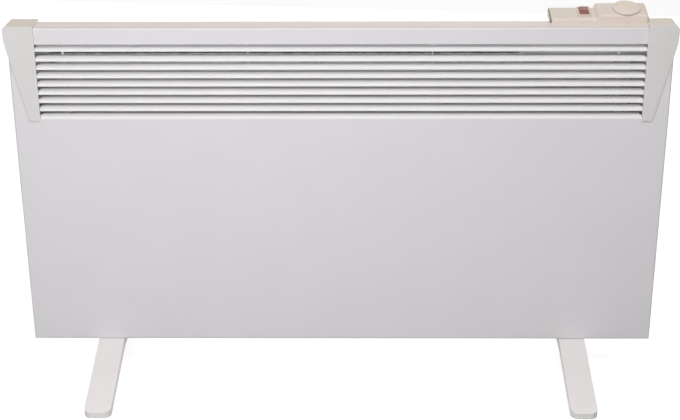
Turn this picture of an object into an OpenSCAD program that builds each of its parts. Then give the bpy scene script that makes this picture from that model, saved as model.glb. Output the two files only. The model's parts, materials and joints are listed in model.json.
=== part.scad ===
// Free-standing convector heater: a folded steel front panel with a band of louvres, a pressed
// steel rear panel, moulded end caps, a control pod on the right of the top, and two arched feet.
// Millimetres. X runs along the heater, the front faces -Y and Z is up. The origin is on the
// floor, under the middle of the case.

/* [Case] */
// Width of the front panel
case_w = 825; // [760:1:1000]
// Height of the front panel
case_h = 430; // [410:1:560]
// Depth of the folded front panel
tray_d = 30; // [28:1:40]
// How far the rear panel stands out behind the front panel
rear_d = 22; // [20:1:30]
// Height of the case above the floor
case_z = 43; // [40:1:60]
// Thickness of the sheet steel
sheet_t = 1; // [0.8:0.1:1.4]
// Outer radius of the front panel's folded edges
bend_r = 2.5; // [1.8:0.1:4]
// Width of the lips folded in at the back of the front panel
lip_w = 12; // [10:1:14]

/* [Louvres] */
// Number of louvre blades
louvre_n = 9; // [6:1:11]
// Height from one blade to the next
louvre_pitch = 10.8; // [9:0.1:12]
// Plain strip above the top blade
louvre_strip = 21.6; // [18:0.2:40]
// Distance from the end of the louvre window to the side of the case
louvre_margin = 30; // [26:0.5:33]
// Height of the upright lip at the front of a blade
louvre_lip = 2.8; // [2:0.1:4]
// Height of a blade from its lip's lower edge to its back edge
louvre_rise = 6.8; // [6:0.1:9]
// Depth of a blade
louvre_d = 7.5; // [5:0.1:9]
// How far each end of a blade is cut back at its back edge
louvre_end_cut = 8; // [4:0.5:12]
// How far the top blade sits above its place in the row
louvre_top_lift = 1.8; // [0:0.1:2.2]
// Thickness of a blade
blade_t = 0.8; // [0.6:0.1:1.2]
// Thickness of the upright ties behind the blades
tie_t = 1.6; // [1:0.1:2.5]

/* [End caps] */
// Length of the cap along the front, inside the side of the case
cap_in = 34; // [33.5:0.5:45]
// How far the cap stands out past the side of the case
cap_out = 3.8; // [2.6:0.2:12]
// How far the cap stands in front of the front panel
cap_proud = 2; // [1.6:0.2:5]
// How far the cap stands above the front panel
cap_rise = 1.8; // [1:0.1:4]
// Height of the cap
cap_h = 122.5; // [118:0.5:150]
// Depth of the cap
cap_d = 38; // [37:1:48]
// Width of the cap's lower end
cap_foot_w = 12.5; // [8:0.5:20]
// Height over which the cap's outer edge stays upright
cap_straight = 21; // [10:1:30]
// Radius of the cap's top outer corner
cap_r = 5; // [3:0.5:12]
// Wall of the cap
cap_wall = 2.4; // [1.8:0.1:3.2]
// Length of the cap's hook behind the case
cap_hook = 42; // [30:1:60]

/* [Control pod] */
// Length of the control housing
pod_l = 122; // [112:0.5:150]
// How far the housing reaches in over the end cap
pod_lap = 3.5; // [2:0.5:6]
// Distance from the front panel's face to the front of the housing
pod_setback = 18; // [14:1:22]
// Height of the low deck's front edge
low_front_h = 5.4; // [4:0.2:8]
// Slope of the low deck in degrees
low_slope = 11.5; // [8:0.5:15]
// Height of the raised deck's front edge
high_front_h = 10.4; // [8:0.2:14]
// Slope of the raised deck in degrees
high_slope = 14.5; // [10:0.5:18]
// Length of the raised deck
high_l = 65.5; // [58:0.5:76]
// Wall of the housing
pod_wall = 2.2; // [1.8:0.1:3]
// Radius of the housing's upright corners
pod_r = 4; // [3:0.5:6]
// Radius of the housing's rear right corner
pod_end_r = 9; // [8:0.5:18]
// Radius of the knob
knob_r = 17.5; // [14:0.5:20]
// Height of the knob's rim
knob_h = 1.8; // [1.8:0.1:6]
// Rise of the knob's domed top
knob_dome = 0.6; // [0.6:0.1:3]
// Number of finger grooves round the knob
knob_groove_n = 24; // [12:1:30]
// Distance from the knob's axis to the right end of the housing
knob_in = 26.5; // [25:0.5:34]
// Radius of the thermostat's spindle
spindle_r = 3; // [2.5:0.1:3.5]
// Length of the rocker across its pin
rocker_l = 18.6; // [14:0.2:20]
// Width of the rocker along its pin
rocker_w = 11.2; // [10.8:0.2:15]
// Distance from the rocker to the left end of the housing
switch_in = 43.5; // [30:0.5:46]
// Tilt of the rocker from one side to the other in degrees
rocker_travel = 16; // [8:1:20]

/* [Feet] */
// Distance between the middles of the feet
foot_pitch = 618; // [500:1:640]
// Width of a foot
foot_w = 34; // [28:1:50]
// How far a foot reaches past the case, at the front and at the back
foot_reach = 135; // [100:1:160]
// Height of a foot's tip
foot_tip_h = 8; // [6:0.5:12]
// Radius of the tip's corners, seen from above
foot_r = 10; // [6:0.5:14]
// Height of a foot's side walls
foot_h = 11.5; // [8:0.5:12]
// Length of the pad that stands on the floor
foot_pad = 16; // [14:1:24]
// Wall of a foot
foot_wall = 2.6; // [2:0.1:4]

/* [Inside] */
// Length of the aluminium element
element_l = 640; // [500:1:650]
// Height of the element's middle above the bottom of the case
element_z = 77; // [70:1:120]
// Radius of the heating rod
rod_r = 4.2; // [3.5:0.1:5]
// Radius of the ceramic insulators
insulator_r = 7; // [6:0.5:9]
// Radius of the leads
lead_r = 1.3; // [1:0.1:1.6]
// Height of the control base
base_h = 53; // [50:1:58]
// Radius of the hole in the cord gland
cord_r = 3.7; // [3:0.1:4.5]

/* [Hidden] */
$fn = 48;

// A cut reaches this far past the face it cuts
over = 1;
// Gap between a pin and its hole, and between pieces of one fixed assembly
fit = 0.1;
// Gap round a turning spindle or pin
run = 0.05;
// Gap between pieces that move past each other
clear = 0.4;

front_y = -(tray_d + rear_d) / 2;
tray_y = front_y + tray_d;
back_y = tray_y + rear_d;
top_z = case_z + case_h;
side_x = case_w / 2;

window_w = case_w - 2 * louvre_margin;
window_top = top_z - louvre_strip;
window_z = window_top - louvre_n * louvre_pitch;
blade_l = window_w - 6 * fit;
blade_slope = atan2(louvre_rise - louvre_lip, louvre_d);
grille_flange = 8;
grille_back = louvre_d + 2;
// How far the ties reach forward into the blades
tie_lap = 0.5;
stop_drop = 3.2;
tie_places = [-window_w * 0.45, -window_w * 0.15, window_w * 0.15, window_w * 0.45];

cap_x0 = side_x - cap_in;
cap_x1 = side_x + cap_out;
cap_z1 = top_z + cap_rise;
cap_z0 = cap_z1 - cap_h;
cap_y0 = front_y - cap_proud;
cap_y1 = cap_y0 + cap_d;
cap_hook_z = top_z - cap_hook;

// The rear panel's pressed form, whose four sides slope at 45 degrees
rear_y = tray_y + sheet_t;
press_d = back_y - rear_y;
press_margin = lip_w + 4;
press_x = side_x - press_margin;
press_z0 = case_z + press_margin;
press_z1 = top_z - press_margin;

pod_x1 = cap_x0 + pod_lap;
pod_x0 = pod_x1 - pod_l;
pod_y0 = front_y + pod_setback;
pod_d = back_y - pod_y0;
high_x = pod_x1 - high_l;
low_edge_r = 2.5;
high_edge_r = 4.5;

base_x0 = pod_x0 + 3;
base_x1 = cap_x0 - 1;
base_wall = 2;
base_floor = top_z - base_h;
base_mid_y = (rear_y + back_y) / 2;
// The corner of the base that is set back, to leave room for the cord behind it
recess_w = 36;
recess_h = 29;
recess_y = rear_y + 8;
pocket_x = base_x0 - 10;
pocket_z = base_floor - 26;

switch_x = pod_x0 + switch_in;
switch_s = 19.3;
switch_wall = 1.2;
switch_l = rocker_l + 2 * (clear + switch_wall);
switch_w = rocker_w + 2 * (clear + switch_wall);
switch_deep = 7;
bezel_rim = 1.2;
bezel_h = 1.8;
rocker_r = rocker_l / 2;
rocker_pin_z = -0.5;
rocker_pin_r = 1.2;

knob_x = pod_x1 - knob_in;
knob_s = pod_d / cos(high_slope) / 2 - 1.2;
knob_gap = 0.4;
bush_r = 4.5;
body_w = 30;
body_l = 13;
body_deep = 12;
spindle_top = knob_gap + knob_h - 0.2;

foot_l = back_y - front_y + 2 * foot_reach;
foot_flat = back_y - front_y - 4;
foot_screw_y = [front_y + 9, front_y + 22];
foot_screw_r = 2;
foot_roof = foot_wall * 1.03;

element_mid = case_z + element_z;
element_h = 66;
element_d = 34;
fin_t = 2;
hub_r = rod_r + 3;
bracket_t = 1.5;
bracket_x = element_l / 2 + 12;
bracket_flange = 14;
bracket_y0 = front_y + 4;
bracket_half = 40.5;
tab_x = bracket_x + 13;
tab_t = 1;
lead_y = -8;
cutout_r = 8;
cutout_z = element_mid + 53;
cutout_tab = 5;
lead_z = case_z + 19;
lead_bend = 8;
block = [34, 12, 14];
block_x = base_x1 - 22.5;
block_pitch = 10;
neutral_x = tab_x + 2 * block_pitch;
lead_top = base_floor + base_wall + block[2] / 3;

module along_x(length) {
    translate([-length / 2, 0, 0])
        rotate([90, 0, 90])
            linear_extrude(length)
                children();
}

module along_y(y0, y1) {
    translate([0, y1, 0])
        rotate([90, 0, 0])
            linear_extrude(y1 - y0)
                children();
}

module both_sides() {
    children();
    mirror([1, 0, 0])
        children();
}

// A slot with round ends, lying along X
module slot_2d(length, width) {
    square([length - width, width], center = true);
    for (side = [-1, 1])
        translate([side * (length - width) / 2, 0])
            circle(width / 2);
}

module rounded_2d(size, r) {
    square([size[0] - 2 * r, size[1]], center = true);
    square([size[0], size[1] - 2 * r], center = true);
    for (x = [-1, 1], y = [-1, 1])
        translate([x * (size[0] / 2 - r), y * (size[1] / 2 - r)])
            circle(r);
}

// A rectangle from [0, 0] whose corners at x = 0 are round
module nosed_2d(depth, width, r) {
    translate([r, 0])
        square([depth - r, width]);
    translate([0, r])
        square([r, width - 2 * r]);
    for (y = [r, width - r])
        translate([r, y])
            circle(r);
}

// A block with round front edges, its front face at y = 0 and its lower face at z = 0
module folded_block(width, depth, height, r) {
    intersection() {
        along_x(width)
            nosed_2d(depth, height, r);
        translate([width / 2, 0, 0])
            rotate([0, 0, 90])
                linear_extrude(height)
                    nosed_2d(depth, width, r);
    }
}

module y_cylinder(r, y0, y1) {
    translate([0, y0, 0])
        rotate([-90, 0, 0])
            cylinder(r = r, h = y1 - y0);
}

module x_cylinder(r, x0, x1) {
    translate([x0, 0, 0])
        rotate([0, 90, 0])
            cylinder(r = r, h = x1 - x0);
}

// Where the rear panel is screwed to the lips of the front panel
top_shares = [-0.62, 0, 0.55];
low_shares = [-0.85, 0, 0.85];
side_shares = [0.22, 0.6];
panel_screw_places = concat(
    [for (share = top_shares) [share * side_x, top_z - lip_w / 2]],
    [for (share = low_shares) [share * side_x, case_z + lip_w / 2 + 1]],
    [for (side = [-1, 1], share = side_shares)
        [side * (side_x - lip_w / 2), case_z + share * case_h]]);
panel_screw_r = 1.5;

// Where each end cap is screwed to the case
cap_screw_x = side_x - lip_w / 2 - 1;
cap_screw_z = top_z - lip_w / 2 - 3;
cap_boss_r = 4;

module front_panel() {
    color("whitesmoke")
        difference() {
            union() {
                translate([0, front_y, case_z])
                    difference() {
                        folded_block(case_w, tray_d, case_h, bend_r);
                        translate([0, sheet_t, sheet_t])
                            folded_block(case_w - 2 * sheet_t, tray_d, case_h - 2 * sheet_t,
                                bend_r - sheet_t);
                    }
                rear_lips();
            }
            translate([-window_w / 2, front_y - over, window_z])
                cube([window_w, sheet_t + 2 * over, window_top - window_z]);
            floor_inlets();
            foot_screw_holes(case_z - over, sheet_t + 2 * over);
            for (place = panel_screw_places)
                translate([place[0], 0, place[1]])
                    y_cylinder(panel_screw_r + fit, tray_y - 2 * sheet_t, tray_y + over);
            both_sides()
                translate([cap_screw_x, 0, cap_screw_z])
                    y_cylinder(panel_screw_r + fit, tray_y - 2 * sheet_t, tray_y + over);
        }
}

module rear_lips() {
    translate([0, tray_y, case_z + case_h / 2])
        rotate([90, 0, 0])
            linear_extrude(sheet_t)
                difference() {
                    square([case_w - sheet_t, case_h - sheet_t], center = true);
                    square([case_w - 2 * lip_w, case_h - 2 * lip_w], center = true);
                }
}

// Rows of slots in the underside, clear of the feet
inlet_l = 30;
inlet_w = 4;
inlet_pitch = 40;
inlet_y = front_y + 10;
inlet_row = 9;
inlet_clear = 30;

module floor_inlets() {
    middle_n = floor(((foot_pitch - foot_w) / 2 - inlet_clear) / inlet_pitch);
    for (i = [-middle_n:middle_n], row = [0, 1])
        translate([i * inlet_pitch, inlet_y + row * inlet_row, case_z - over])
            linear_extrude(sheet_t + 2 * over)
                slot_2d(inlet_l, inlet_w);
}

module foot_screw_holes(z, height) {
    for (side = [-1, 1], y = foot_screw_y)
        translate([side * foot_pitch / 2, y, z])
            cylinder(r = foot_screw_r + 2 * fit, h = height);
}

// Side view of a blade, from the lower edge of its lip
module blade_2d() {
    under = louvre_lip - blade_t * cos(blade_slope)
        + blade_t * (1 - sin(blade_slope)) * tan(blade_slope);
    polygon([[0, 0], [0, louvre_lip], [louvre_d, louvre_rise],
        [louvre_d, louvre_rise - blade_t / cos(blade_slope)], [blade_t, under], [blade_t, 0]]);
}

// Front view of a blade, whose ends are cut back above the lip
module blade_front_2d() {
    half = blade_l / 2;
    polygon([[-half, -over], [half, -over], [half, louvre_lip],
        [half - louvre_end_cut, louvre_rise], [half - louvre_end_cut, louvre_rise + over],
        [-half + louvre_end_cut, louvre_rise + over], [-half + louvre_end_cut, louvre_rise],
        [-half, louvre_lip]]);
}

module louvre_grille() {
    ring_w = window_w + 2 * grille_flange;
    window_h = window_top - window_z;
    color("white") {
        difference() {
            translate([-ring_w / 2, front_y + sheet_t, window_z - grille_flange])
                cube([ring_w, sheet_t, window_h + 2 * grille_flange]);
            translate([-blade_l / 2, front_y, window_z])
                cube([blade_l, 3 * sheet_t, window_h]);
        }
        for (i = [0:louvre_n - 1])
            translate([0, front_y, window_z + i * louvre_pitch
                    + (i == louvre_n - 1 ? louvre_top_lift : 0)])
                intersection() {
                    along_x(blade_l)
                        blade_2d();
                    along_y(-over, louvre_d + over)
                        blade_front_2d();
                }
        both_sides()
            translate([blade_l / 2 - tie_t / 2, front_y + 3 * fit, window_z])
                cube([tie_t / 2, grille_back - 3 * fit, window_h - fit]);
        for (x = tie_places)
            translate([x - tie_t / 2, front_y + louvre_d - tie_lap, window_z])
                cube([tie_t, grille_back - louvre_d + tie_lap, window_h - fit]);
        // small stops that hang behind the lip of the top blade
        for (x = [tie_places[0], tie_places[3]])
            translate([x - tie_t / 2, front_y + blade_t / 2,
                    window_top - louvre_pitch + louvre_top_lift - stop_drop])
                cube([tie_t, 2 * blade_t, stop_drop + louvre_lip / 2]);
    }
}

// The form pressed into the rear panel, with a pocket for the control base
module pressed_form() {
    difference() {
        intersection() {
            along_x(2 * press_x + 2 * over)
                polygon([[rear_y - over, press_z0], [rear_y, press_z0],
                    [back_y, press_z0 + press_d], [back_y, press_z1 - press_d],
                    [rear_y, press_z1], [rear_y - over, press_z1]]);
            translate([0, 0, press_z0 - over])
                linear_extrude(press_z1 - press_z0 + 2 * over)
                    polygon([[-press_x, rear_y - over], [-press_x, rear_y],
                        [-press_x + press_d, back_y], [press_x - press_d, back_y],
                        [press_x, rear_y], [press_x, rear_y - over]]);
        }
        intersection() {
            translate([0, 0, pocket_z - 2 * press_d])
                linear_extrude(case_h)
                    polygon([[pocket_x, rear_y], [pocket_x - press_d - over, back_y + over],
                        [case_w, back_y + over], [case_w, rear_y]]);
            along_x(2 * case_w)
                polygon([[rear_y, pocket_z], [back_y + over, pocket_z - press_d - over],
                    [back_y + over, top_z + over], [rear_y, top_z + over]]);
        }
    }
}

rear_slot_l = 34;
rear_slot_w = 5;
rear_slot_pitch = 20;
hook_slot_l = 26;
hook_slot_w = 7;
hook_pitch = 480;
hook_z = case_z + 0.72 * case_h;
rear_slot_gap = 8;
rear_slot_clear = 20;
rear_slot_z = press_z0 + press_d + rear_slot_l / 2 + rear_slot_gap;

module rear_panel() {
    flange_gap = 2;
    color("gainsboro")
        difference() {
            union() {
                translate([-side_x + flange_gap, tray_y, case_z + flange_gap])
                    cube([case_w - 2 * flange_gap, sheet_t, case_h - 2 * flange_gap]);
                pressed_form();
            }
            translate([0, -sheet_t, 0])
                pressed_form();
            rear_inlets();
            for (side = [-1, 1])
                translate([side * hook_pitch / 2, 0, hook_z])
                    along_y(back_y - 2 * sheet_t, back_y + over)
                        slot_2d(hook_slot_l, hook_slot_w);
            for (place = panel_screw_places)
                translate([place[0], 0, place[1]])
                    y_cylinder(panel_screw_r + fit, tray_y - over, rear_y + over);
            both_sides()
                translate([cap_screw_x, 0, cap_screw_z])
                    y_cylinder(panel_screw_r + fit, tray_y - over, rear_y + over);
            for (place = base_screw_places)
                translate([place[0], 0, place[1]])
                    y_cylinder(panel_screw_r + fit, tray_y - over, rear_y + over);
            lead_passages();
        }
}

module rear_inlets() {
    slot_n = floor((press_x - press_d - rear_slot_clear) / rear_slot_pitch);
    for (i = [-slot_n:slot_n], row = [0, 1])
        if (abs(abs(i * rear_slot_pitch) - bracket_x + bracket_flange / 2)
                > (bracket_flange + rear_slot_w) / 2 + 2)
            translate([i * rear_slot_pitch, 0, rear_slot_z + row * (rear_slot_l + rear_slot_gap)])
                along_y(back_y - 2 * sheet_t, back_y + over)
                    rotate(90)
                        slot_2d(rear_slot_l, rear_slot_w);
}

// Points along an arc, between two angles
function arc_points(middle, r, from, to, n) =
    [for (i = [0:n])
        let (angle = from + (to - from) * i / n)
            middle + r * [cos(angle), sin(angle)]];

// Front view of the right end cap: an upright outer edge that turns in a long taper
module cap_front_2d() {
    knee_z = cap_z1 - cap_straight;
    taper = atan2(cap_x1 - cap_x0 - cap_foot_w, knee_z - cap_z0);
    knee_r = 60;
    knee_drop = knee_r * tan(taper / 2);
    polygon(concat(
        [[cap_x0, cap_z0], [cap_x0, cap_z1]],
        arc_points([cap_x1 - cap_r, cap_z1 - cap_r], cap_r, 90, 0, 6),
        arc_points([cap_x1 - knee_r, knee_z + knee_drop], knee_r, 0, -taper, 6),
        [[cap_x0 + cap_foot_w + 1, cap_z0 + 1.5], [cap_x0 + cap_foot_w - 0.6, cap_z0]]));
}

// Front view of the hook behind the case: above the rear panel's pressed form, and down beside it
module cap_hook_2d(inset) {
    gap = 1.5;
    x0 = cap_x0 + inset;
    x1 = side_x - inset;
    step_x = press_x + gap + inset;
    step_z = press_z1 + gap + inset;
    low_z = cap_hook_z + inset;
    polygon([[x0, step_z], [x0, top_z], [x1, top_z], [x1, low_z], [step_x, low_z],
        [step_x, step_z]]);
}

module end_cap() {
    difference() {
        union() {
            difference() {
                along_y(cap_y0, cap_y1)
                    cap_front_2d();
                // room for the corner of the case
                translate([cap_x0 - over, front_y, cap_z0 - over])
                    cube([side_x - cap_x0 + over, cap_d, top_z - cap_z0 + over]);
                // behind the case only the top stays
                translate([cap_x0 - over, rear_y, cap_z0 - over])
                    cube([cap_x1, cap_d, cap_hook_z - cap_z0 + over]);
            }
            difference() {
                along_y(rear_y, cap_y1)
                    cap_hook_2d(0);
                along_y(rear_y - over, cap_y1 - cap_wall)
                    cap_hook_2d(cap_wall);
            }
            translate([cap_screw_x, 0, cap_screw_z])
                y_cylinder(cap_boss_r, rear_y, cap_y1 - cap_wall / 2);
        }
        translate([cap_screw_x, 0, cap_screw_z])
            y_cylinder(panel_screw_r + fit, rear_y - over, cap_y1 + over);
    }
}

module left_end_cap() {
    color("ivory")
        mirror([1, 0, 0])
            end_cap();
}

// The right cap is notched where the control housing laps over it
module right_end_cap() {
    color("ivory")
        difference() {
            end_cap();
            translate([cap_x0 - over, pod_y0 - 3 * fit, top_z - fit])
                cube([pod_lap + over + 3 * fit, cap_d, cap_rise + over]);
        }
}

// A sheet that hangs from the top of the case and turns the air forward
deflector_x0 = -press_x + press_d + 3;
deflector_x1 = pocket_x - rear_d - 4;
deflector_drop = 46;
deflector_flange = 10;
deflector_tail = 15;

module air_deflector() {
    top = top_z - sheet_t;
    front = front_y + 14;
    back = back_y - sheet_t;
    turn = top - deflector_drop;
    color("silver")
        translate([(deflector_x0 + deflector_x1) / 2, 0, 0])
            along_x(deflector_x1 - deflector_x0)
                polygon([[front - deflector_flange, top],
                    [front - deflector_flange, top - sheet_t], [front, top - sheet_t],
                    [back - sheet_t, turn], [back - sheet_t, turn - deflector_tail],
                    [back, turn - deflector_tail], [back, turn + sheet_t / 2],
                    [front + sheet_t / 2, top]]);
}

// Cross-section of the element: four ribbed arms round a hub with the rod's bore
module element_2d() {
    arm = norm([element_d, element_h]) / 2;
    lean = atan2(element_h, element_d);
    rib_pitch = arm / 4.6;
    difference() {
        union() {
            circle(hub_r);
            for (angle = [lean, 180 - lean, 180 + lean, -lean])
                rotate(angle)
                    translate([0, -fin_t / 2]) {
                        square([arm, fin_t]);
                        for (i = [2:4])
                            translate([i * rib_pitch - fin_t / 4, -fin_t])
                                square([fin_t / 2, 3 * fin_t]);
                    }
        }
        circle(rod_r + fit);
    }
}

module heating_element() {
    color("silver")
        translate([0, 0, element_mid])
            along_x(element_l)
                element_2d();
}

module heating_rod() {
    rod_half = bracket_x + 8;
    pin_r = 1.5;
    tab_w = 8;
    tab_reach = 3;
    color("dimgray")
        translate([0, 0, element_mid]) {
            x_cylinder(rod_r, -rod_half, rod_half);
            x_cylinder(pin_r, -tab_x - tab_reach, tab_x + tab_reach);
            both_sides()
                translate([tab_x - tab_w / 2, lead_y - tab_reach, -tab_t / 2])
                    cube([tab_w, tab_reach + 1 - lead_y, tab_t]);
        }
}

module insulator() {
    collar = 2.5;
    x0 = element_l / 2;
    x1 = bracket_x + bracket_t + 4;
    color("linen")
        translate([0, 0, element_mid])
            difference() {
                union() {
                    x_cylinder(insulator_r, x0, x1);
                    x_cylinder(insulator_r + collar, x0, bracket_x);
                }
                x_cylinder(rod_r + fit, x0 - over, x1 + over);
            }
}

module left_insulator() {
    mirror([1, 0, 0])
        insulator();
}

module right_insulator() {
    insulator();
}

// An upright plate with a flange against the rear panel, which holds one end of the element
module element_bracket(plate_top) {
    low_z = press_z0 + press_d + 8;
    high_z = element_mid + 30;
    foot_y = 8;
    shoulder_y = 4;
    flange_y = back_y - sheet_t;
    difference() {
        union() {
            translate([bracket_x + bracket_t / 2, 0, 0])
                along_x(bracket_t)
                    polygon([[bracket_y0, element_mid - bracket_half],
                        [foot_y, element_mid - bracket_half], [flange_y, low_z],
                        [flange_y, high_z], [shoulder_y, plate_top], [bracket_y0, plate_top]]);
            translate([bracket_x - bracket_flange, flange_y - bracket_t, low_z])
                cube([bracket_flange + bracket_t, bracket_t, high_z - low_z]);
        }
        translate([0, 0, element_mid])
            x_cylinder(insulator_r + fit, bracket_x - over, bracket_x + bracket_t + over);
    }
}

module left_element_bracket() {
    color("lightgray")
        mirror([1, 0, 0])
            element_bracket(element_mid + bracket_half);
}

module right_element_bracket() {
    color("lightgray")
        element_bracket(cutout_z + cutout_r + 2);
}

// A round cut-out on the outer side of the right bracket, with two terminals
module thermal_cutout() {
    face = bracket_x + bracket_t;
    rim_t = 2;
    cutout_l = 7;
    tab_w = 4.8;
    tab_x0 = face + 5;
    color("dimgray")
        translate([0, lead_y, cutout_z]) {
            x_cylinder(cutout_r, face, face + rim_t);
            x_cylinder(cutout_r - 1.2, face + 1, face + cutout_l);
            for (side = [-1, 1])
                translate([tab_x0, -tab_w / 2, side * cutout_tab - tab_t / 2])
                    cube([tab_x + 4 - tab_x0, tab_w, tab_t]);
        }
}

// Where the leads pass from the control base into the case
module lead_passages() {
    for (side = [-1, 1])
        translate([block_x + side * block_pitch, 0, lead_top])
            y_cylinder(lead_r + 1, tray_y - 2 * sheet_t, rear_y + base_wall + over);
}

base_screw_drop = 6;
base_screw_places = [for (x = [base_x0 + 14, base_x1 - 10]) [x, top_z - lip_w - base_screw_drop]];
tongue_w = 14;
tongue_places = [base_x0 + 16, knob_x - body_w / 2 - tongue_w / 2 - 2];
tongue_h = 7;
gland_x = base_x0 + 17;
gland_z = base_floor + 14;
gland_neck_r = cord_r + 1.6;
gland_l = back_y - recess_y + base_wall;

// The base's outer form, or its hollow: a box with one rear corner set back for the cord
module base_form(inset) {
    reach = inset > 0 ? over : 0;
    difference() {
        translate([base_x0 + inset, rear_y + inset, base_floor + inset])
            cube([base_x1 - base_x0 - 2 * inset, back_y - rear_y - 2 * inset,
                base_h - inset + reach]);
        translate([base_x0 - over, recess_y - inset, base_floor - over])
            cube([recess_w + over + inset, back_y, recess_h + over + inset]);
    }
}

module control_base() {
    inner_y1 = back_y - base_wall;
    tongue_y = back_y - pod_wall - fit - base_wall;
    color("antiquewhite")
        difference() {
            union() {
                difference() {
                    base_form(0);
                    base_form(base_wall);
                }
                for (x = tongue_places) {
                    translate([x - tongue_w / 2, tongue_y, top_z - tongue_h])
                        cube([tongue_w, base_wall, 2 * tongue_h]);
                    translate([x - tongue_w / 2, tongue_y, top_z - tongue_h])
                        cube([tongue_w, base_wall + pod_wall, tongue_h]);
                }
            }
            for (place = base_screw_places)
                translate([place[0], 0, place[1]])
                    y_cylinder(panel_screw_r + fit, rear_y - over, rear_y + base_wall + over);
            for (x = tongue_places)
                translate([x, 0, top_z + tongue_h / 2])
                    y_cylinder(panel_screw_r + fit, inner_y1 - 8, back_y + over);
            lead_passages();
            translate([gland_x, 0, gland_z])
                y_cylinder(gland_neck_r + fit, recess_y - base_wall - over, recess_y + over);
        }
}

// Local frame of a deck: x along the heater, y up the slope and z out of the deck
module on_low_deck(x, s) {
    translate([x, pod_y0, top_z + low_front_h])
        rotate([low_slope, 0, 0])
            translate([0, s, 0])
                children();
}

module on_high_deck(x, s) {
    translate([x, pod_y0, top_z + high_front_h])
        rotate([high_slope, 0, 0])
            translate([0, s, 0])
                children();
}

// Side view of a deck's wedge, with a round front edge and a round back edge
module wedge_2d(slope, front_h, edge_r, inset) {
    front = pod_y0 + inset;
    back = back_y - inset;
    least_r = 0.4;
    round_r = max(edge_r - inset, least_r);
    // height of the deck's surface, or of the inner one, over y
    drop = inset / cos(slope);
    front_z = top_z + front_h + inset * tan(slope) - drop;
    back_z = top_z + front_h + (pod_d - inset) * tan(slope) - drop;
    floor_z = top_z - (inset > 0 ? over : 0);
    polygon(concat(
        [[front, floor_z]],
        arc_points([front + round_r, front_z + round_r * tan(slope) - round_r / cos(slope)],
            round_r, 180, 90 + slope, 5),
        arc_points([back - round_r, back_z - round_r * tan(slope) - round_r / cos(slope)],
            round_r, 90 + slope, 0, 7),
        [[back, floor_z]]));
}

module pod_plan_2d(inset) {
    r = pod_r - inset * 0.6;
    end_r = pod_end_r - inset;
    x0 = pod_x0 + inset;
    x1 = pod_x1 - inset;
    y0 = pod_y0 + inset;
    y1 = back_y - inset;
    polygon(concat(
        arc_points([x0 + r, y0 + r], r, 270, 180, 6),
        arc_points([x0 + r, y1 - r], r, 180, 90, 6),
        arc_points([x1 - end_r, y1 - end_r], end_r, 90, 0, 10),
        arc_points([x1 - r, y0 + r], r, 0, -90, 6)));
}

// Seen along the slope: a deck's length with round upper ends, reaching down past the floor
module deck_end_2d(x0, x1, r0, r1) {
    reach = 2 * pod_d;
    polygon(concat(
        [[x0, -reach]],
        arc_points([x0 + r0, -r0], r0, 180, 90, 6),
        arc_points([x1 - r1, -r1], r1, 90, 0, 8),
        [[x1, -reach]]));
}

module deck_solid(x0, x1, slope, front_h, edge_r, r0, r1, inset) {
    intersection() {
        translate([(x0 + x1) / 2, 0, 0])
            along_x(x1 - x0)
                wedge_2d(slope, front_h, edge_r, inset);
        translate([0, pod_y0, top_z + front_h - inset / cos(slope)])
            rotate([slope, 0, 0])
                along_y(-pod_d, 3 * pod_d)
                    deck_end_2d(x0, x1, r0, r1);
    }
}

// The housing's outer form, or its hollow: a low deck with a raised one on its right
module pod_solid(inset) {
    low_end_r = 4 - inset / 2;
    step_r = 9 - inset;
    high_end_r = 6 - inset;
    intersection() {
        union() {
            deck_solid(pod_x0 + inset, pod_x1 - inset, low_slope, low_front_h, low_edge_r,
                low_end_r, low_end_r, inset);
            deck_solid(high_x + inset, pod_x1 - inset, high_slope, high_front_h, high_edge_r,
                step_r, high_end_r, inset);
        }
        translate([0, 0, top_z - 2 * over])
            linear_extrude(2 * pod_d)
                pod_plan_2d(inset);
    }
}

housing_head_r = 3;
housing_head_h = 1.2;

module control_housing() {
    color("antiquewhite")
        difference() {
            pod_solid(0);
            pod_solid(pod_wall);
            on_low_deck(switch_x, switch_s)
                translate([-switch_w / 2 - fit, -switch_l / 2 - fit, -3 * pod_wall])
                    cube([switch_w + 2 * fit, switch_l + 2 * fit, 6 * pod_wall]);
            on_high_deck(knob_x, knob_s)
                translate([0, 0, -3 * pod_wall])
                    cylinder(r = bush_r + fit, h = 6 * pod_wall);
            for (x = tongue_places)
                translate([x, 0, top_z + tongue_h / 2]) {
                    y_cylinder(panel_screw_r + fit, back_y - 2 * pod_wall, back_y + over);
                    y_cylinder(housing_head_r + fit, back_y - housing_head_h - fit, back_y + over);
                }
        }
}

module thermostat_body() {
    color("dimgray")
        on_high_deck(knob_x, knob_s)
            difference() {
                union() {
                    translate([-body_w / 2, -3, -pod_wall - 2 * fit - body_deep])
                        cube([body_w, body_l, body_deep]);
                    translate([0, 0, -pod_wall - over])
                        cylinder(r = bush_r, h = pod_wall + over);
                }
                translate([0, 0, -body_deep])
                    cylinder(r = spindle_r + run, h = body_deep + over);
            }
}

module thermostat_spindle() {
    color("silver")
        on_high_deck(knob_x, knob_s)
            translate([0, 0, clear - body_deep])
                cylinder(r = spindle_r, h = body_deep - clear + spindle_top);
}

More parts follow.
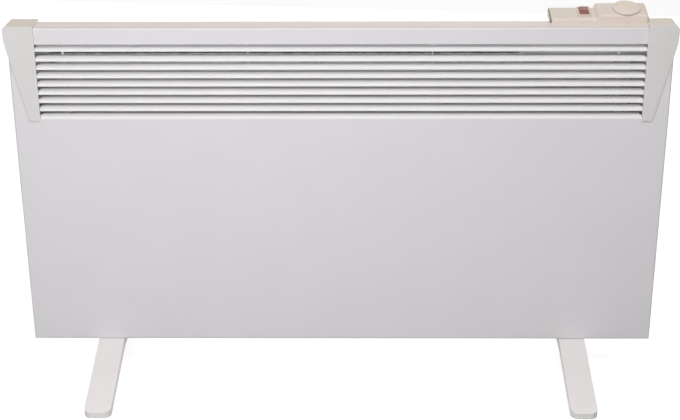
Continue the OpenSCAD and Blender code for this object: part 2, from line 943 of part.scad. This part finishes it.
// A low domed knob with finger grooves round its rim and a pointer notch
module thermostat_knob() {
    pointer_angle = 150;
    skirt = 1;
    rim_top = knob_gap + knob_h;
    top = rim_top + knob_dome;
    dome_reach = knob_r - skirt;
    dome_r = (dome_reach * dome_reach + knob_dome * knob_dome) / (2 * knob_dome);
    groove_r = 1.6;
    groove_depth = 0.6;
    notch = [6, 1.6, 1];
    color("antiquewhite")
        on_high_deck(knob_x, knob_s)
            difference() {
                rotate_extrude()
                    polygon(concat(
                        [[0, knob_gap], [knob_r, knob_gap]],
                        arc_points([knob_r - skirt, rim_top - skirt], skirt, 0, 80, 5),
                        arc_points([0, top - dome_r], dome_r, acos(dome_reach / dome_r), 90, 6)));
                for (i = [0:knob_groove_n - 1])
                    rotate(i * 360 / knob_groove_n)
                        translate([knob_r + groove_r - groove_depth, 0, -over])
                            cylinder(r = groove_r, h = top + over);
                rotate(pointer_angle)
                    translate([knob_r - notch[0], -notch[1] / 2, rim_top - notch[2]])
                        cube([notch[0] + over, notch[1], notch[2] + knob_dome + over]);
                translate([0, 0, -over])
                    cylinder(r = spindle_r + run, h = over + spindle_top);
            }
}

// The frame clips into the low deck and holds the rocker's pin
module switch_frame() {
    pocket_l = rocker_l + 2 * clear;
    pocket_w = rocker_w + 2 * clear;
    bezel_r = 1.5;
    floor_t = 1.5;
    pin_hole = 0.8;
    blade = [6, 0.8, 6];
    blade_pitch = 5;
    color("dimgray")
        on_low_deck(switch_x, switch_s)
            difference() {
                union() {
                    translate([-switch_w / 2, -switch_l / 2, -switch_deep])
                        cube([switch_w, switch_l, switch_deep + over]);
                    linear_extrude(bezel_h)
                        rounded_2d([switch_w + 2 * bezel_rim, switch_l + 2 * bezel_rim], bezel_r);
                    for (i = [-1:1])
                        translate([-blade[0] / 2, i * blade_pitch - blade[1] / 2,
                                -switch_deep - blade[2]])
                            cube(blade + [0, 0, over]);
                }
                translate([-pocket_w / 2, -pocket_l / 2, -switch_deep + floor_t])
                    cube([pocket_w, pocket_l, switch_deep + bezel_h]);
                translate([0, 0, rocker_pin_z])
                    x_cylinder(rocker_pin_r + run, -pocket_w / 2 - pin_hole,
                        pocket_w / 2 + pin_hole);
            }
}

// Side view of the rocker about its pin: round ends, and a top with a shallow valley
module rocker_2d() {
    low = -3.4;
    valley = 2.5;
    rim = 3.6;
    end = rocker_r + over;
    intersection() {
        circle(rocker_r);
        polygon([[-end, low], [end, low], [end, rim], [0, valley], [-end, rim]]);
    }
}

module switch_rocker() {
    pin_half = rocker_w / 2 + clear + 0.6;
    color("firebrick")
        on_low_deck(switch_x, switch_s)
            translate([0, 0, rocker_pin_z])
                rotate([rocker_travel / 2, 0, 0]) {
                    along_x(rocker_w)
                        rocker_2d();
                    x_cylinder(rocker_pin_r, -pin_half, pin_half);
                }
}

module terminal_block() {
    color("ivory")
        difference() {
            translate([block_x - block[0] / 2, base_mid_y - block[1] / 2, base_floor + base_wall])
                cube(block);
            for (i = [-1:1])
                translate([block_x + i * block_pitch, base_mid_y, base_floor + block[2] / 2])
                    cylinder(r = 2, h = block[2]);
        }
}

// The mains cord enters forwards through this gland, in the set-back wall of the base
module cord_gland() {
    lip = 1.4;
    color("dimgray")
        translate([gland_x, recess_y - base_wall, gland_z])
            rotate([-90, 0, 0])
                rotate_extrude()
                    polygon([[cord_r, -lip], [gland_neck_r + lip, -lip], [gland_neck_r + lip, 0],
                        [gland_neck_r, 0], [gland_neck_r, base_wall],
                        [gland_neck_r + 2 * lip, base_wall],
                        [gland_neck_r + 2 * lip, base_wall + 2 * lip],
                        [cord_r + lip, gland_l], [cord_r, gland_l]]);
}

// A bent wire through a list of points
module wire(points, r) {
    for (i = [0:len(points) - 2]) {
        step = points[i + 1] - points[i];
        translate(points[i])
            rotate([0, acos(step[2] / norm(step)), atan2(step[1], step[0])])
                cylinder(r = r, h = norm(step));
    }
    for (i = [1:len(points) - 2])
        translate(points[i])
            sphere(r * 1.15);
}

// From the terminal block at x forward through the wall, then down to the place of a tab
function lead_start(x, down_x) = [
    [x, base_mid_y - block[1] / 2, lead_top],
    [x, lead_y + lead_bend, lead_top],
    [x, lead_y, lead_top - lead_bend],
    [down_x, lead_y, lead_top - 3 * lead_bend]];

module live_lead() {
    color("firebrick")
        wire(concat(lead_start(block_x - block_pitch, tab_x),
            [[tab_x, lead_y, cutout_z + cutout_tab + tab_t / 2]]), lead_r);
}

module link_lead() {
    color("firebrick")
        translate([tab_x, lead_y, element_mid + tab_t / 2])
            cylinder(r = lead_r, h = cutout_z - cutout_tab - element_mid - tab_t);
}

// Down the right end, along the bottom and up to the element's left terminal
module neutral_lead() {
    color("steelblue")
        wire(concat(lead_start(block_x + block_pitch, neutral_x), [
            [neutral_x, lead_y, lead_z + lead_bend],
            [neutral_x - lead_bend, lead_y, lead_z],
            [-tab_x + lead_bend, lead_y, lead_z],
            [-tab_x, lead_y, lead_z + lead_bend],
            [-tab_x, lead_y, element_mid - tab_t / 2]]), lead_r);
}

// Height of the foot's sloping top at y
function foot_top(y) =
    case_z - (y - foot_flat / 2) * (case_z - foot_tip_h) / (foot_l / 2 - foot_flat / 2);

// The points of one half of an outline, followed by the same points of the other half
function mirrored(points) =
    concat(points, [for (i = [len(points) - 1:-1:0]) [-points[i][0], points[i][1]]]);

// Side view of a foot: an arch of even height that ends in a pad on the floor
module foot_side_2d() {
    tip = foot_l / 2;
    heel = tip - foot_pad;
    step = 2;
    polygon(mirrored([[foot_flat / 2, case_z - foot_h],
        [heel - step, foot_top(heel - step) - foot_h], [heel, 0], [tip, 0], [tip, foot_tip_h],
        [foot_flat / 2, case_z]]));
}

module foot_hollow_2d() {
    slant = 6;
    end = foot_l / 2 - foot_pad - 8;
    polygon(mirrored([[end, -over], [end, foot_top(end) - foot_roof - slant / 3],
        [end - slant, foot_top(end - slant) - foot_roof], [foot_flat / 2, case_z - foot_roof]]));
}

// Cross ribs that stiffen the hollow
foot_rib_t = 1.6;
foot_rib_n = 4;

module foot_ribs() {
    first = foot_flat / 2 + 6;
    pitch = (foot_l / 2 - foot_pad - 12 - first) / foot_rib_n;
    for (side = [-1, 1], i = [0:foot_rib_n])
        translate([-foot_w / 2, side * (first + i * pitch) - foot_rib_t / 2, -over])
            cube([foot_w, foot_rib_t, case_z]);
}

module foot() {
    color("white")
        difference() {
            intersection() {
                along_x(foot_w)
                    foot_side_2d();
                translate([0, 0, -over])
                    linear_extrude(case_z + 2 * over)
                        rounded_2d([foot_w, foot_l], foot_r);
            }
            difference() {
                along_x(foot_w - 2 * foot_wall)
                    foot_hollow_2d();
                foot_ribs();
            }
            for (y = foot_screw_y)
                translate([0, y, case_z - foot_h])
                    cylinder(r = foot_screw_r + 2 * fit, h = case_z);
        }
}

module left_foot() {
    translate([-foot_pitch / 2, 0, 0])
        foot();
}

module right_foot() {
    translate([foot_pitch / 2, 0, 0])
        foot();
}

// A nut plate inside the case, over each foot
module foot_bracket() {
    plate_t = 2;
    boss_r = 4;
    boss_h = 8;
    floor_z = case_z + sheet_t;
    y0 = foot_screw_y[0] - 6;
    y1 = foot_screw_y[1] + 5;
    color("lightgray")
        difference() {
            union() {
                translate([-foot_w / 2, y0, floor_z])
                    cube([foot_w, y1 - y0, plate_t]);
                for (y = foot_screw_y)
                    translate([0, y, floor_z])
                        cylinder(r = boss_r, h = boss_h);
            }
            for (y = foot_screw_y)
                translate([0, y, floor_z - over])
                    cylinder(r = foot_screw_r, h = boss_h + 2 * over);
        }
}

module left_foot_bracket() {
    translate([-foot_pitch / 2, 0, 0])
        foot_bracket();
}

module right_foot_bracket() {
    translate([foot_pitch / 2, 0, 0])
        foot_bracket();
}

// A round-headed screw along +Z, its head below z = 0
module screw(r, length, head_r, head_h) {
    slot_l = 1.2 * head_r;
    slot_w = 0.8;
    slot_h = 0.4 * head_h;
    cylinder(r = r, h = length);
    difference() {
        union() {
            translate([0, 0, -head_h])
                cylinder(r1 = head_r * 0.8, r2 = head_r, h = head_h / 2);
            translate([0, 0, -head_h / 2])
                cylinder(r = head_r, h = head_h / 2);
        }
        for (turn = [0, 90])
            rotate(turn)
                translate([-slot_l / 2, -slot_w / 2, -head_h - over])
                    cube([slot_l, slot_w, over + slot_h]);
    }
}

module foot_screws() {
    head_r = 3.8;
    head_h = 2.6;
    grip = 7;
    color("silver")
        for (side = [-1, 1], y = foot_screw_y)
            translate([side * foot_pitch / 2, y, case_z - foot_roof])
                screw(foot_screw_r - run, foot_roof + sheet_t + grip, head_r, head_h);
}

// A screw along -Y, with its head behind the plane y
module screw_from_back(y, length, head_r = 3.2, head_h = 2) {
    translate([0, y, 0])
        rotate([90, 0, 0])
            screw(panel_screw_r, length, head_r, head_h);
}

module rear_panel_screws() {
    color("silver")
        for (place = panel_screw_places)
            translate([place[0], 0, place[1]])
                screw_from_back(rear_y, 8);
}

module end_cap_screws() {
    color("silver")
        both_sides()
            translate([cap_screw_x, 0, cap_screw_z])
                screw_from_back(cap_y1, cap_y1 - tray_y + 6);
}

module control_base_screws() {
    color("silver")
        for (place = base_screw_places)
            translate([place[0], 0, place[1]])
                screw_from_back(rear_y + base_wall, base_wall + sheet_t + 4);
}

module housing_screws() {
    color("silver")
        for (x = tongue_places)
            translate([x, 0, top_z + tongue_h / 2])
                screw_from_back(back_y - housing_head_h - fit, pod_wall + base_wall,
                    housing_head_r, housing_head_h);
}

front_panel();
louvre_grille();
rear_panel();
left_end_cap();
right_end_cap();
air_deflector();
heating_element();
heating_rod();
left_insulator();
right_insulator();
left_element_bracket();
right_element_bracket();
thermal_cutout();
control_base();
control_housing();
thermostat_body();
thermostat_spindle();
thermostat_knob();
switch_frame();
switch_rocker();
terminal_block();
cord_gland();
live_lead();
link_lead();
neutral_lead();
left_foot();
right_foot();
left_foot_bracket();
right_foot_bracket();
foot_screws();
rear_panel_screws();
end_cap_screws();
control_base_screws();
housing_screws();
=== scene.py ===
import json
import math

import bpy
from mathutils import Matrix, Vector


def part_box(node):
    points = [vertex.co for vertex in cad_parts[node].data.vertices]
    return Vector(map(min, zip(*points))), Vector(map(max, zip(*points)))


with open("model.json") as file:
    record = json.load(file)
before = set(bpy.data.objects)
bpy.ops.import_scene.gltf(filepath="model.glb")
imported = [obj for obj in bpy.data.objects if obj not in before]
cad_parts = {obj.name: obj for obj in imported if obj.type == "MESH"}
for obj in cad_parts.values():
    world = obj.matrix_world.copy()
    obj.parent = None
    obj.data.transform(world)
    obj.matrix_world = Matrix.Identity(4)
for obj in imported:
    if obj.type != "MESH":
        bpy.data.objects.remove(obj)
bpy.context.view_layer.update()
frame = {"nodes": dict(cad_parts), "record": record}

# The photograph's width in pixels, and the camera that took it
photo_width = 680
focal_pixels = 1404
sensor_width = 36
camera_place = Vector((0.0187, -1.7038, 0.925))
camera_pitch = math.radians(22.485)
camera_yaw = math.radians(0.675)
camera_roll = math.radians(-0.24)

# The world's light on the object, and the floor
world_level = 0.16
background_level = 1.0
floor_half = 12.0
floor_drop = 0.0003
paper_level = 0.33
paper_glow = 0.86

# The boxes of the CAD nodes whose finish changes from place to place
grille_low, grille_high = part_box("louvre_grille")
panel_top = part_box("front_panel")[1].z
pod_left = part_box("control_housing")[0].x
rocker_low, rocker_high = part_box("switch_rocker")

# The plain strip above the louvre window, as the CAD part has it
strip_height = 0.0216

# Painted shade deep in the louvre gaps: how deep it starts and is full, and where it ends below
# the window's top
painted_shade_start = grille_low.y + 0.0052
painted_shade_full = grille_low.y + 0.0088
painted_shade_top = panel_top - strip_height - 0.005
painted_shade_edge = 0.0015

# Darker painted shade in the corners behind the slanted ends of the blades, on both sides
corner_start = grille_high.x - 0.0101
corner_full = grille_high.x - 0.0066
corner_depth_start = grille_low.y + 0.0015
corner_depth_full = grille_low.y + 0.0035

# The painted shade on the left end of the control pod: where it stops, and how soft its edge is
pod_end = pod_left + 0.002
pod_end_edge = 0.0008

# How round the edges of each finish look, and how wide their lighter edges are: painted
# highlight, on the coats and mouldings together with wear
coat_edge = 0.0007
moulding_edge = 0.0006
rocker_edge = 0.0008

# Directions: up, left, and square to the fold between the front and the top; they aim the
# painted light and shade on the faces that look up, the painted shade on the pod's left end and
# the painted shade on the fold
up = (0, 0, 1)
left = (-1, 0, 0)
off_the_fold = (0, -0.5, 0.866)

# Most values of a noise texture lie between these two
noise_low = 0.3
noise_high = 0.7


def linear(colour):
    """A colour given as sRGB values from 0 to 1, as linear light."""
    def channel(value):
        return value / 12.92 if value <= 0.04045 else ((value + 0.055) / 1.055) ** 2.4
    return tuple(channel(value) for value in colour) + (1.0,)


def tinted(colour, change):
    """An sRGB colour made lighter, or darker where the change is below 0."""
    return tuple(min(1.0, max(0.0, value + change)) for value in colour)


def grey(level):
    return (level, level, level, 1)


class Tree:
    """A node tree, with the steps that the finishes, the floor and the world share."""

    def __init__(self, node_tree):
        self.nodes = node_tree.nodes
        self.links = node_tree.links

    def node(self, kind, inputs=None, **settings):
        """A new node. An input given as a socket is linked, and any other is set."""
        made = self.nodes.new(kind)
        for name, value in settings.items():
            setattr(made, name, value)
        self.fill(made, inputs or {})
        return made

    def fill(self, node, inputs):
        for name, value in inputs.items():
            if isinstance(value, bpy.types.NodeSocket):
                self.links.new(value, node.inputs[name])
            else:
                node.inputs[name].default_value = value

    def maths(self, operation, *values):
        made = self.node("ShaderNodeMath", dict(enumerate(values)), operation=operation)
        return made.outputs[0]

    def camera_sees(self):
        """1 for the rays that show a background: the camera's, and those of gloss and glass."""
        path = self.node("ShaderNodeLightPath").outputs
        seen = self.maths("MAXIMUM", path["Is Camera Ray"], path["Is Glossy Ray"])
        return self.maths("MAXIMUM", seen, path["Is Transmission Ray"])


class Finish(Tree):
    """A material, with the steps that build its colour, roughness and relief."""

    def __init__(self, name):
        self.material = bpy.data.materials.new(name)
        self.material.use_nodes = True
        super().__init__(self.material.node_tree)
        self.shader = self.nodes["Principled BSDF"]
        self.place = self.node("ShaderNodeTexCoord").outputs["Object"]

    def noise(self, scale, detail=3.0, stretch=(1, 1, 1)):
        """A noise texture in metres, on the object's own coordinates."""
        mapping = self.node("ShaderNodeMapping", {"Vector": self.place, "Scale": stretch})
        texture = self.node("ShaderNodeTexNoise", {
            "Vector": mapping.outputs["Vector"], "Scale": scale, "Detail": detail})
        return texture.outputs["Fac"]

    def cells(self, scale):
        """The outputs of a cell texture in metres, on the object's own coordinates."""
        return self.node("ShaderNodeTexVoronoi", {"Vector": self.place, "Scale": scale}).outputs

    def ramp(self, value, *stops):
        """Maps a value to colours; the two stops are (position, linear colour)."""
        made = self.node("ShaderNodeValToRGB", {"Fac": value})
        for element, (position, colour) in zip(made.color_ramp.elements, stops):
            element.position = position
            element.color = colour
        return made.outputs["Color"]

    def remap(self, value, first, last, **settings):
        """Maps the range of values called first to the range called last."""
        made = self.node("ShaderNodeMapRange", {
            "Value": value, "From Min": first[0], "From Max": first[1],
            "To Min": last[0], "To Max": last[1]}, **settings)
        return made.outputs["Result"]

    def spread(self, value, low, high):
        """Stretches the middle of a noise value to the range low to high."""
        return self.remap(value, (noise_low, noise_high), (low, high))

    def between(self, value, first, last):
        """0 up to first and 1 from last on, with a smooth change between them."""
        return self.remap(value, (first, last), (0, 1), interpolation_type="SMOOTHSTEP")

    def axis(self, name):
        """One of the object's own coordinates, in metres."""
        return self.node("ShaderNodeSeparateXYZ", {0: self.place}).outputs[name]

    def blend(self, amount, first, second):
        """Mixes two colours; each is a socket or a linear colour."""
        mix = self.node("ShaderNodeMix", {0: amount, 6: first, 7: second}, data_type="RGBA")
        return mix.outputs[2]

    def normal(self):
        """The surface's own normal."""
        return self.node("ShaderNodeNewGeometry").outputs["Normal"]

    def dot(self, first, second):
        made = self.node("ShaderNodeVectorMath", {0: first, 1: second}, operation="DOT_PRODUCT")
        return made.outputs["Value"]

    def facing(self, direction, first, last):
        """0 to 1 as the surface turns towards a direction; first and last are cosines."""
        return self.between(self.dot(self.normal(), direction), first, last)

    def soft_edges(self, radius):
        """The normal of slightly rounded edges, and a value that is above 0 only on them."""
        bevel = self.node("ShaderNodeBevel", {"Radius": radius}, samples=6)
        rounded = bevel.outputs["Normal"]
        edge = self.remap(self.dot(rounded, self.normal()), (1.0, 0.75), (0, 1))
        return rounded, edge

    def worn(self, edge):
        """An edge value that comes and goes along the edge, as wear does."""
        wear = self.spread(self.noise(scale=55, detail=4), 0.35, 1.0)
        return self.maths("MULTIPLY", edge, wear)

    def mottled(self, colour, change, scale):
        """A colour that drifts a little lighter and darker."""
        return self.ramp(self.noise(scale, detail=4),
                         (noise_low, linear(tinted(colour, -change))),
                         (noise_high, linear(tinted(colour, change))))

    def painted_top_tone(self, lit, warm, first, last):
        """Paints the warm colour on the faces that look up, as painted light and shade from
        above; first and last are cosines.
        """
        if warm is None:
            return lit
        return self.blend(self.facing(up, first, last), lit,
                          self.mottled(warm, change=0.006, scale=40))

    def lighter_edges_worn_and_highlit(self, lit, edge, colour, change):
        """Gives the edges a colour that is a little lighter: partly wear, partly a painted
        highlight.
        """
        return self.blend(self.worn(edge), lit, linear(tinted(colour, change)))

    def bump(self, height, distance, strength, normal=None):
        """A normal with the relief of a height, on top of another normal where one is given."""
        inputs = {"Height": height, "Distance": distance, "Strength": strength}
        if normal is not None:
            inputs["Normal"] = normal
        return self.node("ShaderNodeBump", inputs).outputs["Normal"]

    def finished(self, colour, roughness, normal, constants=None):
        """Links what varies to the shader, sets what is the same all over, and ends there."""
        self.fill(self.shader, {"Base Color": colour, "Roughness": roughness, "Normal": normal})
        self.fill(self.shader, constants or {})
        return self.material


def powder_coat(name, colour, roughness=0.42, warm=None, marks=None):
    """Satin powder coat: fine orange peel, and edges a little lighter, partly as wear and
    partly as a painted highlight.

    warm is a painted colour for the faces that look up: painted light and shade from above,
    in place of the warm top light. marks is a function that adds what only one piece has."""
    coat = Finish(name)
    rounded, edge = coat.soft_edges(coat_edge)
    lit = coat.mottled(colour, change=0.004, scale=14)
    # Painted light and shade: the faces that look up get the warm colour.
    lit = coat.painted_top_tone(lit, warm, 0.05, 0.6)
    # Lighter edges: partly wear, partly a painted highlight.
    lit = coat.lighter_edges_worn_and_highlit(lit, edge, colour, 0.015)
    if marks:
        lit = marks(coat, lit)
    peel = coat.noise(scale=620, detail=2)
    dust = coat.noise(scale=3200, detail=1)
    shine = coat.spread(coat.noise(scale=45), roughness - 0.03, roughness + 0.05)
    relief = coat.bump(peel, distance=0.00006, strength=0.5, normal=rounded)
    relief = coat.bump(dust, distance=0.00001, strength=0.5, normal=relief)
    return coat.finished(lit, shine, relief)


def fold_painted_shade(coat, lit):
    """Painted shade on the fold between the front and the top, on the faces that turn towards
    the top.
    """
    return coat.blend(coat.facing(off_the_fold, 0.9, 0.97), lit, linear((0.745, 0.71, 0.68)))


def louvre_painted_shade(coat, lit):
    """Painted shade deep in the gaps, but not in the top one, and darker painted shade behind
    the blades' ends.
    """
    depth = coat.between(coat.axis("Y"), painted_shade_start, painted_shade_full)
    below = coat.between(coat.axis("Z"), painted_shade_top, painted_shade_top - painted_shade_edge)
    lit = coat.blend(coat.maths("MULTIPLY", depth, below), lit, linear((0.38, 0.365, 0.38)))
    sideways = coat.maths("ABSOLUTE", coat.axis("X"))
    beyond = coat.between(sideways, corner_start, corner_full)
    depth = coat.between(coat.axis("Y"), corner_depth_start, corner_depth_full)
    return coat.blend(coat.maths("MULTIPLY", beyond, depth), lit, linear((0.17, 0.16, 0.17)))


def moulding(name, colour, roughness=0.5, grain=2600, depth=0.00003, edge_change=0.03,
             warm=None, marks=None):
    """Moulded plastic with a spark-eroded grain, and edges rubbed a little smoother and
    lighter, the lighter colour partly wear and partly a painted highlight.

    warm is a painted colour for the faces that look up: painted light and shade from above.
    marks is a function that adds what only one piece has."""
    plastic = Finish(name)
    rounded, edge = plastic.soft_edges(moulding_edge)
    lit = plastic.mottled(colour, change=0.006, scale=30)
    # Painted light and shade: the faces that look up get the warm colour.
    lit = plastic.painted_top_tone(lit, warm, 0.35, 0.95)
    # Lighter edges: partly wear, partly a painted highlight.
    lit = plastic.lighter_edges_worn_and_highlit(lit, edge, colour, edge_change)
    if marks:
        lit = marks(plastic, lit)
    shine = plastic.spread(plastic.noise(scale=220), roughness - 0.04, roughness + 0.05)
    pits = plastic.cells(grain)["Distance"]
    relief = plastic.bump(pits, depth, strength=0.45, normal=rounded)
    return plastic.finished(lit, shine, relief)


def pod_end_painted_shade(plastic, lit):
    """Painted shade on the pod's left end, the face that looks left, darker than its decks."""
    before = plastic.between(plastic.axis("X"), pod_end, pod_end - pod_end_edge)
    shaded = plastic.maths("MULTIPLY", before, plastic.facing(left, 0.2, 0.7))
    return plastic.blend(shaded, lit, linear((0.41, 0.38, 0.35)))


def zinc_sheet(name, colour):
    """Zinc-coated sheet: pale crystal spangle over fine rolling lines."""
    sheet = Finish(name)
    cells = sheet.cells(170)["Color"]
    spangle = sheet.node("ShaderNodeRGBToBW", {0: cells}).outputs[0]
    lit = sheet.ramp(spangle, (0.2, linear(tinted(colour, -0.05))),
                     (0.8, linear(tinted(colour, 0.05))))
    lines = sheet.noise(scale=700, detail=2, stretch=(0.04, 1, 1))
    relief = sheet.bump(lines, distance=0.00002, strength=0.5)
    return sheet.finished(lit, sheet.spread(spangle, 0.3, 0.5), relief, {"Metallic": 1.0})


def drawn_metal(name, colour, roughness, along=(0.03, 1, 1), stain=None):
    """Extruded or drawn metal with die lines; stain is a second colour in soft patches."""
    metal = Finish(name)
    lit = metal.mottled(colour, change=0.02, scale=60)
    if stain:
        patches = metal.spread(metal.noise(scale=35), 0.0, 0.8)
        lit = metal.blend(patches, lit, linear(stain))
    lines = metal.noise(scale=1300, stretch=along)
    shine = metal.spread(lines, roughness - 0.08, roughness + 0.1)
    relief = metal.bump(lines, distance=0.00003, strength=0.6)
    return metal.finished(lit, shine, relief, {"Metallic": 1.0})


def rocker_plastic(name):
    """Glossy red plastic: a vivid front half, a paler, browner back half that is painted light
    for the half that leans away, and painted highlights on the edges.
    """
    plastic = Finish(name)
    middle = (rocker_low.y + rocker_high.y) / 2
    # Painted light: the back half, which leans away, gets a paler, greyer red.
    back = plastic.between(plastic.axis("Y"), middle, middle + 0.001)
    front_red = plastic.mottled((0.455, 0.13, 0.09), change=0.012, scale=300)
    lit = plastic.blend(back, front_red, linear((0.54, 0.39, 0.36)))
    rounded, edge = plastic.soft_edges(rocker_edge)
    # Painted highlight: a lighter red on the rounded edges.
    lit = plastic.blend(edge, lit, linear((0.62, 0.34, 0.31)))
    grain = plastic.noise(scale=900, detail=2)
    relief = plastic.bump(grain, distance=0.00002, strength=0.4, normal=rounded)
    return plastic.finished(lit, plastic.spread(grain, 0.2, 0.32), relief,
                            {"Coat Weight": 0.3, "Coat Roughness": 0.15})


def paint_nodes():
    """Gives every CAD node the finish of its material slot."""
    finishes = {
        # The warm colours are painted light and shade for the faces that look up.
        "front_panel_paint": powder_coat("panel_coat", (0.862, 0.855, 0.868),
                                         # The panel's marks are painted shade on its fold.
                                         warm=(0.875, 0.84, 0.822), marks=fold_painted_shade),
        # The louvre coat is lighter than the panel's, as painted light on the blades' lips.
        "louvre_paint": powder_coat("louvre_coat", (0.945, 0.94, 0.945), 0.38,
                                    # The louvre coat's marks are painted shade in the gaps and
                                    # in the corners behind the blades.
                                    marks=louvre_painted_shade),
        "rear_panel_paint": powder_coat("rear_coat", (0.84, 0.835, 0.845), 0.46),
        "cap_plastic": moulding("cap_moulding", (0.838, 0.834, 0.829),
                                warm=(0.835, 0.805, 0.765)),
        "pod_plastic": moulding("pod_moulding", (0.815, 0.772, 0.738),
                                # The pod's marks are painted shade on its left end.
                                warm=(0.827, 0.79, 0.755), marks=pod_end_painted_shade),
        "knob_plastic": moulding("knob_moulding", (0.845, 0.8, 0.757), 0.42,
                                 grain=3200, depth=0.00002),
        "foot_plastic": moulding("foot_moulding", (0.885, 0.876, 0.873), 0.46),
        "switch_plastic": moulding("switch_moulding", (0.83, 0.765, 0.725), 0.42,
                                   grain=3200, depth=0.00002),
        "rocker_red": rocker_plastic("rocker_moulding"),
        "gland_plastic": moulding("gland_rubber", (0.17, 0.17, 0.17), 0.6,
                                  grain=2200, depth=0.00004, edge_change=0.08),
        "bare_sheet": zinc_sheet("zinc_sheet", (0.62, 0.625, 0.64)),
        "element_aluminium": drawn_metal("extruded_aluminium", (0.78, 0.78, 0.79), 0.35),
        "rod_steel": drawn_metal("rod_sheath", (0.42, 0.4, 0.38), 0.42,
                                 stain=(0.3, 0.24, 0.3)),
        "ceramic_white": moulding("unglazed_ceramic", (0.92, 0.9, 0.86), 0.7,
                                  grain=1500, depth=0.00006),
        "cutout_plastic": moulding("phenolic", (0.16, 0.12, 0.1), 0.4,
                                   depth=0.00002, edge_change=0.1),
        "lead_live": moulding("sleeve_live", (0.64, 0.6, 0.57), grain=1800, edge_change=0.05),
        "lead_neutral": moulding("sleeve_neutral", (0.6, 0.61, 0.63), grain=1800,
                                 edge_change=0.05),
        "screw_steel": drawn_metal("zinc_screws", (0.78, 0.78, 0.75), 0.32, along=(1, 1, 1),
                                   stain=(0.7, 0.68, 0.6)),
    }
    for part in frame["record"]["subparts"]:
        materials = frame["nodes"][part["node"]].data.materials
        materials.clear()
        materials.append(finishes[part["material_slot"]])


def add_camera():
    """The photograph's camera."""
    data = bpy.data.cameras.new("photo_camera")
    data.sensor_width = sensor_width
    data.lens = focal_pixels / photo_width * sensor_width
    data.clip_start = 0.05
    data.clip_end = 60
    camera = bpy.data.objects.new("photo_camera", data)
    bpy.context.scene.collection.objects.link(camera)
    turn = Matrix.Rotation(camera_yaw, 4, "Z")
    tilt = Matrix.Rotation(math.radians(90) - camera_pitch, 4, "X")
    roll = Matrix.Rotation(camera_roll, 4, "Z")
    camera.matrix_world = Matrix.Translation(camera_place) @ turn @ tilt @ roll
    bpy.context.scene.camera = camera


def add_world():
    """A white background, and a low even light that is a little warm."""
    world = bpy.data.worlds.new("studio")
    bpy.context.scene.world = world
    world.use_nodes = True
    tree = Tree(world.node_tree)
    tree.nodes.clear()
    seen = tree.node("ShaderNodeBackground", {"Color": grey(1), "Strength": background_level})
    light = tree.node("ShaderNodeBackground", {
        "Color": (1, 0.99, 0.985, 1), "Strength": world_level})
    mix = tree.node("ShaderNodeMixShader", {
        "Fac": tree.camera_sees(), 1: light.outputs[0], 2: seen.outputs[0]})
    tree.node("ShaderNodeOutputWorld", {"Surface": mix.outputs[0]})


def floor_material():
    """Pale paper that glows only where a background shows, and takes the object's shadow."""
    material = bpy.data.materials.new("floor_paper")
    material.use_nodes = True
    tree = Tree(material.node_tree)
    tree.nodes.clear()
    paper = tree.node("ShaderNodeBsdfDiffuse", {"Color": grey(paper_level)})
    glow = tree.node("ShaderNodeEmission", {"Color": grey(1), "Strength": paper_glow})
    dark = tree.node("ShaderNodeEmission", {"Strength": 0.0})
    shown = tree.node("ShaderNodeMixShader", {
        "Fac": tree.camera_sees(), 1: dark.outputs[0], 2: glow.outputs[0]})
    both = tree.node("ShaderNodeAddShader", {0: paper.outputs[0], 1: shown.outputs[0]})
    tree.node("ShaderNodeOutputMaterial", {"Surface": both.outputs[0]})
    return material


def add_floor():
    """A large square just under the feet."""
    mesh = bpy.data.meshes.new("floor")
    corners = [(x * floor_half, y * floor_half, 0)
               for x, y in ((-1, -1), (1, -1), (1, 1), (-1, 1))]
    mesh.from_pydata(corners, [], [(0, 1, 2, 3)])
    mesh.materials.append(floor_material())
    floor = bpy.data.objects.new("floor", mesh)
    bpy.context.scene.collection.objects.link(floor)
    floor.location.z = -floor_drop


def add_lamp(name, place, aim, width, height, power, colour):
    """A soft rectangular lamp that the camera doesn't see."""
    data = bpy.data.lights.new(name, "AREA")
    data.shape = "RECTANGLE"
    data.size = width
    data.size_y = height
    data.energy = power
    data.color = colour
    lamp = bpy.data.objects.new(name, data)
    lamp.location = place
    lamp.rotation_mode = "QUATERNION"
    lamp.rotation_quaternion = (Vector(aim) - Vector(place)).to_track_quat("-Z", "Y")
    lamp.visible_camera = False
    bpy.context.scene.collection.objects.link(lamp)


def add_lamps():
    """A key from the left front, two lamps from above, and a low wide one for the back."""
    add_lamp("key", place=(-0.36, -1.3, 0.66), aim=(0, 0, 0.28),
             width=1.0, height=0.5, power=10.1, colour=(1, 0.99, 1))
    add_lamp("front_top", place=(0.4, -1.15, 2.05), aim=(0, 0, 0.45),
             width=0.5, height=0.4, power=19, colour=(1, 0.985, 0.975))
    add_lamp("top", place=(-0.2, 0.3, 2.4), aim=(0, 0, 0.4),
             width=1.8, height=1.2, power=12, colour=(1, 0.93, 0.88))
    add_lamp("back", place=(0.2, 1.9, 0.24), aim=(0, 0, 0.24),
             width=4.0, height=0.4, power=34, colour=(1, 0.985, 0.97))


add_camera()
add_world()
add_floor()
add_lamps()
paint_nodes()

bpy.context.scene.view_settings.view_transform = "Standard"
